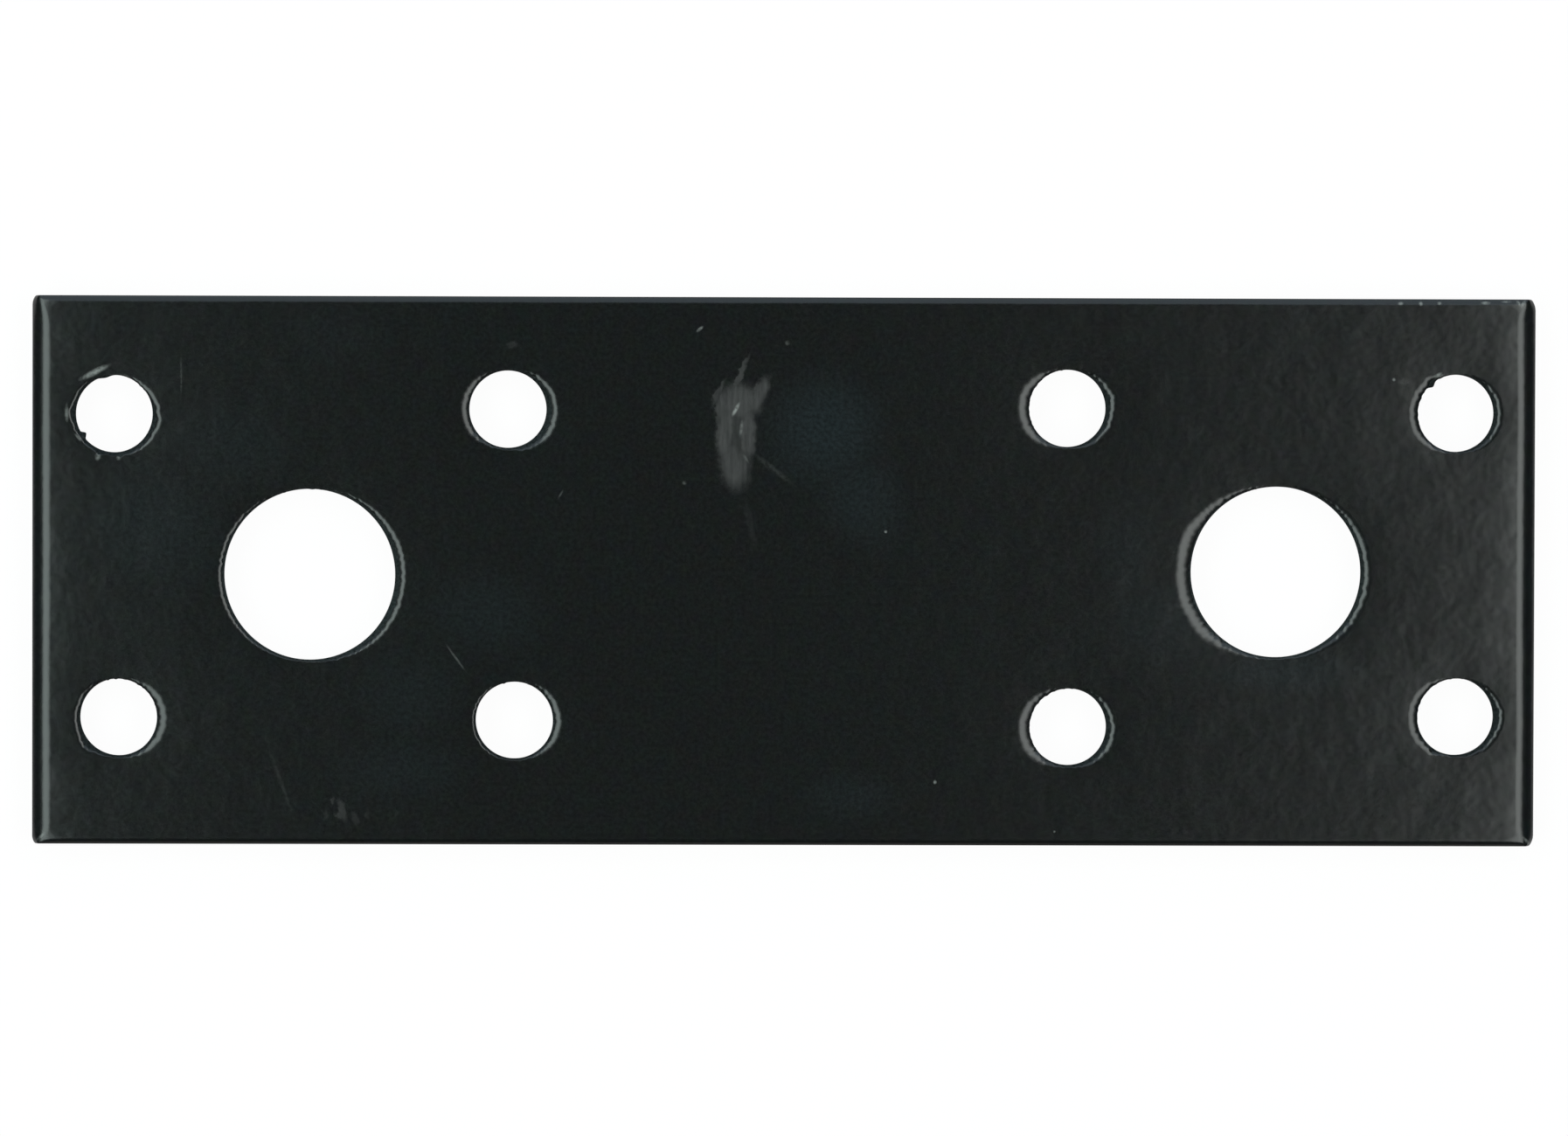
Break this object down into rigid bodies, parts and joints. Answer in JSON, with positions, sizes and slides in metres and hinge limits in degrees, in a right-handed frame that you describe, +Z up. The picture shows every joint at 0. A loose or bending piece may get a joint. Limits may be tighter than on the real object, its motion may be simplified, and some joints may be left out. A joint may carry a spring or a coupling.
{
  "type": "assembly plate",
  "caption": "Flat black-painted steel plate with a rolled rim and punched nail and bolt holes, for joining timbers side by side or end to end.",
  "frame": {"origin": "middle of the underside, on the surface that the plate lies on", "axes": "+X along the plate, +Y across it towards the upper row of holes, +Z up out of the face with the rolled rim"},
  "size_m": [0.096, 0.035, 0.0025],
  "materials": {
    "black_paint": "satin"
  },
  "bodies": {
    "root": {"plate": "black_paint"}
  },
  "joints": []
}
